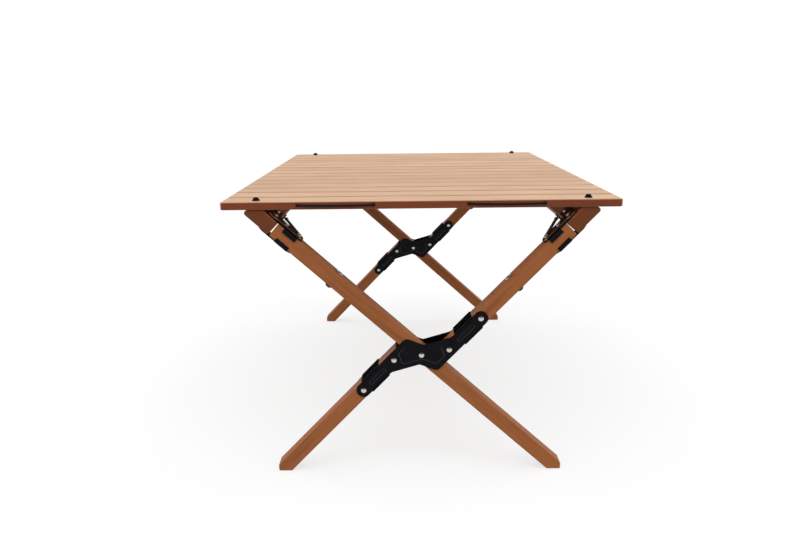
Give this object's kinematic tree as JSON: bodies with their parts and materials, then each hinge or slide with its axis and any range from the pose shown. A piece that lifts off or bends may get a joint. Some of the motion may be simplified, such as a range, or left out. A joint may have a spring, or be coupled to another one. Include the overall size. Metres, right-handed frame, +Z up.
{
  "type": "folding camping table",
  "caption": "Low folding camping table: a roll-up slatted wooden top buttoned onto a frame of crossed wooden legs with steel hinges.",
  "frame": {"origin": "on the ground, under the middle of the top, with the table open", "axes": "+Y along the length of the table, +X along the slats, +Z up"},
  "size_m": [0.6, 0.9074, 0.4479],
  "materials": {
    "top_wood": "oiled, satin",
    "frame_wood": "stained, satin",
    "black_steel": "satin black paint",
    "bronze_steel": "satin dark bronze",
    "bright_steel": "bright nickel plate",
    "rubber": "matte",
    "cord": "braided"
  },
  "bodies": {
    "left_frame": {"left_rail": "frame_wood", "near_long_leg": "frame_wood", "far_long_leg": "frame_wood", "left_near_hinge": "black_steel", "left_near_lock": "bronze_steel", "left_near_bolt": "rubber", "left_near_ring": "bright_steel", "left_near_stud": "rubber", "left_far_hinge": "black_steel", "left_far_lock": "bronze_steel", "left_far_bolt": "rubber", "left_far_ring": "bright_steel", "left_far_stud": "rubber"},
    "right_frame": {"right_rail": "frame_wood", "near_upper_leg": "frame_wood", "far_upper_leg": "frame_wood", "near_lower_leg": "frame_wood", "far_lower_leg": "frame_wood", "right_near_hinge": "black_steel", "right_near_lock": "bronze_steel", "right_near_bolt": "rubber", "right_near_ring": "bright_steel", "right_near_stud": "rubber", "right_far_hinge": "black_steel", "right_far_lock": "bronze_steel", "right_far_bolt": "rubber", "right_far_ring": "bright_steel", "right_far_stud": "rubber", "near_outer_bracket": "black_steel", "near_inner_bracket": "black_steel", "near_centre_rivet": "bright_steel", "near_side_rivet_1": "bright_steel", "near_side_rivet_2": "bright_steel", "near_side_rivet_3": "bright_steel", "near_side_rivet_4": "bright_steel", "far_outer_bracket": "black_steel", "far_inner_bracket": "black_steel", "far_centre_rivet": "bright_steel", "far_side_rivet_1": "bright_steel", "far_side_rivet_2": "bright_steel", "far_side_rivet_3": "bright_steel", "far_side_rivet_4": "bright_steel"},
    "top_slat_01": {"slat_01": "top_wood", "left_cord": "cord", "right_cord": "cord"},
    "top_slat_02": {"slat_02": "top_wood"},
    "top_slat_03": {"slat_03": "top_wood"},
    "top_slat_04": {"slat_04": "top_wood"},
    "top_slat_05": {"slat_05": "top_wood"},
    "top_slat_06": {"slat_06": "top_wood"},
    "top_slat_07": {"slat_07": "top_wood"},
    "top_slat_08": {"slat_08": "top_wood"},
    "top_slat_09": {"slat_09": "top_wood"},
    "top_slat_10": {"slat_10": "top_wood"},
    "top_slat_11": {"slat_11": "top_wood"},
    "top_slat_12": {"slat_12": "top_wood"},
    "top_slat_13": {"slat_13": "top_wood"},
    "top_slat_14": {"slat_14": "top_wood"},
    "top_slat_15": {"slat_15": "top_wood"}
  },
  "joints": [
    {"name": "frame_close", "type": "hinge", "parent": "left_frame", "child": "right_frame", "pos_m": [0, 0, 0.2007], "axis": [0, -1, 0], "range_deg": [0, 88], "deforming": ["left_near_stud", "left_far_stud", "right_near_stud", "right_far_stud"]},
    {"name": "top_lift", "type": "slide", "parent": "left_frame", "child": "top_slat_01", "axis": [0, 0, 1], "range_m": [0, 0.7]},
    {"name": "top_roll", "type": "hinge", "parent": "top_slat_01", "child": "top_slat_02", "pos_m": [0, -0.39, 0.442], "axis": [1, 0, 0], "range_deg": [0, 39], "deforming": ["left_cord", "right_cord"]},
    {"name": "top_roll_02", "type": "hinge", "parent": "top_slat_02", "child": "top_slat_03", "pos_m": [0, -0.33, 0.442], "axis": [1, 0, 0], "range_deg": [0, 39.24]},
    {"name": "top_roll_03", "type": "hinge", "parent": "top_slat_03", "child": "top_slat_04", "pos_m": [0, -0.27, 0.442], "axis": [1, 0, 0], "range_deg": [0, 39.81]},
    {"name": "top_roll_04", "type": "hinge", "parent": "top_slat_04", "child": "top_slat_05", "pos_m": [0, -0.21, 0.442], "axis": [1, 0, 0], "range_deg": [0, 40.75]},
    {"name": "top_roll_05", "type": "hinge", "parent": "top_slat_05", "child": "top_slat_06", "pos_m": [0, -0.15, 0.442], "axis": [1, 0, 0], "range_deg": [0, 42.08]},
    {"name": "top_roll_06", "type": "hinge", "parent": "top_slat_06", "child": "top_slat_07", "pos_m": [0, -0.09, 0.442], "axis": [1, 0, 0], "range_deg": [0, 43.78]},
    {"name": "top_roll_07", "type": "hinge", "parent": "top_slat_07", "child": "top_slat_08", "pos_m": [0, -0.03, 0.442], "axis": [1, 0, 0], "range_deg": [0, 45.87]},
    {"name": "top_roll_08", "type": "hinge", "parent": "top_slat_08", "child": "top_slat_09", "pos_m": [0, 0.03, 0.442], "axis": [1, 0, 0], "range_deg": [0, 48.33]},
    {"name": "top_roll_09", "type": "hinge", "parent": "top_slat_09", "child": "top_slat_10", "pos_m": [0, 0.09, 0.442], "axis": [1, 0, 0], "range_deg": [0, 51.17]},
    {"name": "top_roll_10", "type": "hinge", "parent": "top_slat_10", "child": "top_slat_11", "pos_m": [0, 0.15, 0.442], "axis": [1, 0, 0], "range_deg": [0, 54.39]},
    {"name": "top_roll_11", "type": "hinge", "parent": "top_slat_11", "child": "top_slat_12", "pos_m": [0, 0.21, 0.442], "axis": [1, 0, 0], "range_deg": [0, 57.98]},
    {"name": "top_roll_12", "type": "hinge", "parent": "top_slat_12", "child": "top_slat_13", "pos_m": [0, 0.27, 0.442], "axis": [1, 0, 0], "range_deg": [0, 61.96]},
    {"name": "top_roll_13", "type": "hinge", "parent": "top_slat_13", "child": "top_slat_14", "pos_m": [0, 0.33, 0.442], "axis": [1, 0, 0], "range_deg": [0, 66.32]},
    {"name": "top_roll_14", "type": "hinge", "parent": "top_slat_14", "child": "top_slat_15", "pos_m": [0, 0.39, 0.442], "axis": [1, 0, 0], "range_deg": [0, 71.05]}
  ],
  "couplings": [
    {"joint": "top_lift", "follows": "frame_close", "m_per_rad": 0.45},
    {"joint": "top_roll_02", "follows": "top_roll", "ratio": 1.0049},
    {"joint": "top_roll_03", "follows": "top_roll", "ratio": 1.0195},
    {"joint": "top_roll_04", "follows": "top_roll", "ratio": 1.0436},
    {"joint": "top_roll_05", "follows": "top_roll", "ratio": 1.0777},
    {"joint": "top_roll_06", "follows": "top_roll", "ratio": 1.1213},
    {"joint": "top_roll_07", "follows": "top_roll", "ratio": 1.1749},
    {"joint": "top_roll_08", "follows": "top_roll", "ratio": 1.238},
    {"joint": "top_roll_09", "follows": "top_roll", "ratio": 1.3108},
    {"joint": "top_roll_10", "follows": "top_roll", "ratio": 1.3933},
    {"joint": "top_roll_11", "follows": "top_roll", "ratio": 1.4854},
    {"joint": "top_roll_12", "follows": "top_roll", "ratio": 1.5874},
    {"joint": "top_roll_13", "follows": "top_roll", "ratio": 1.6992},
    {"joint": "top_roll_14", "follows": "top_roll", "ratio": 1.8205}
  ]
}
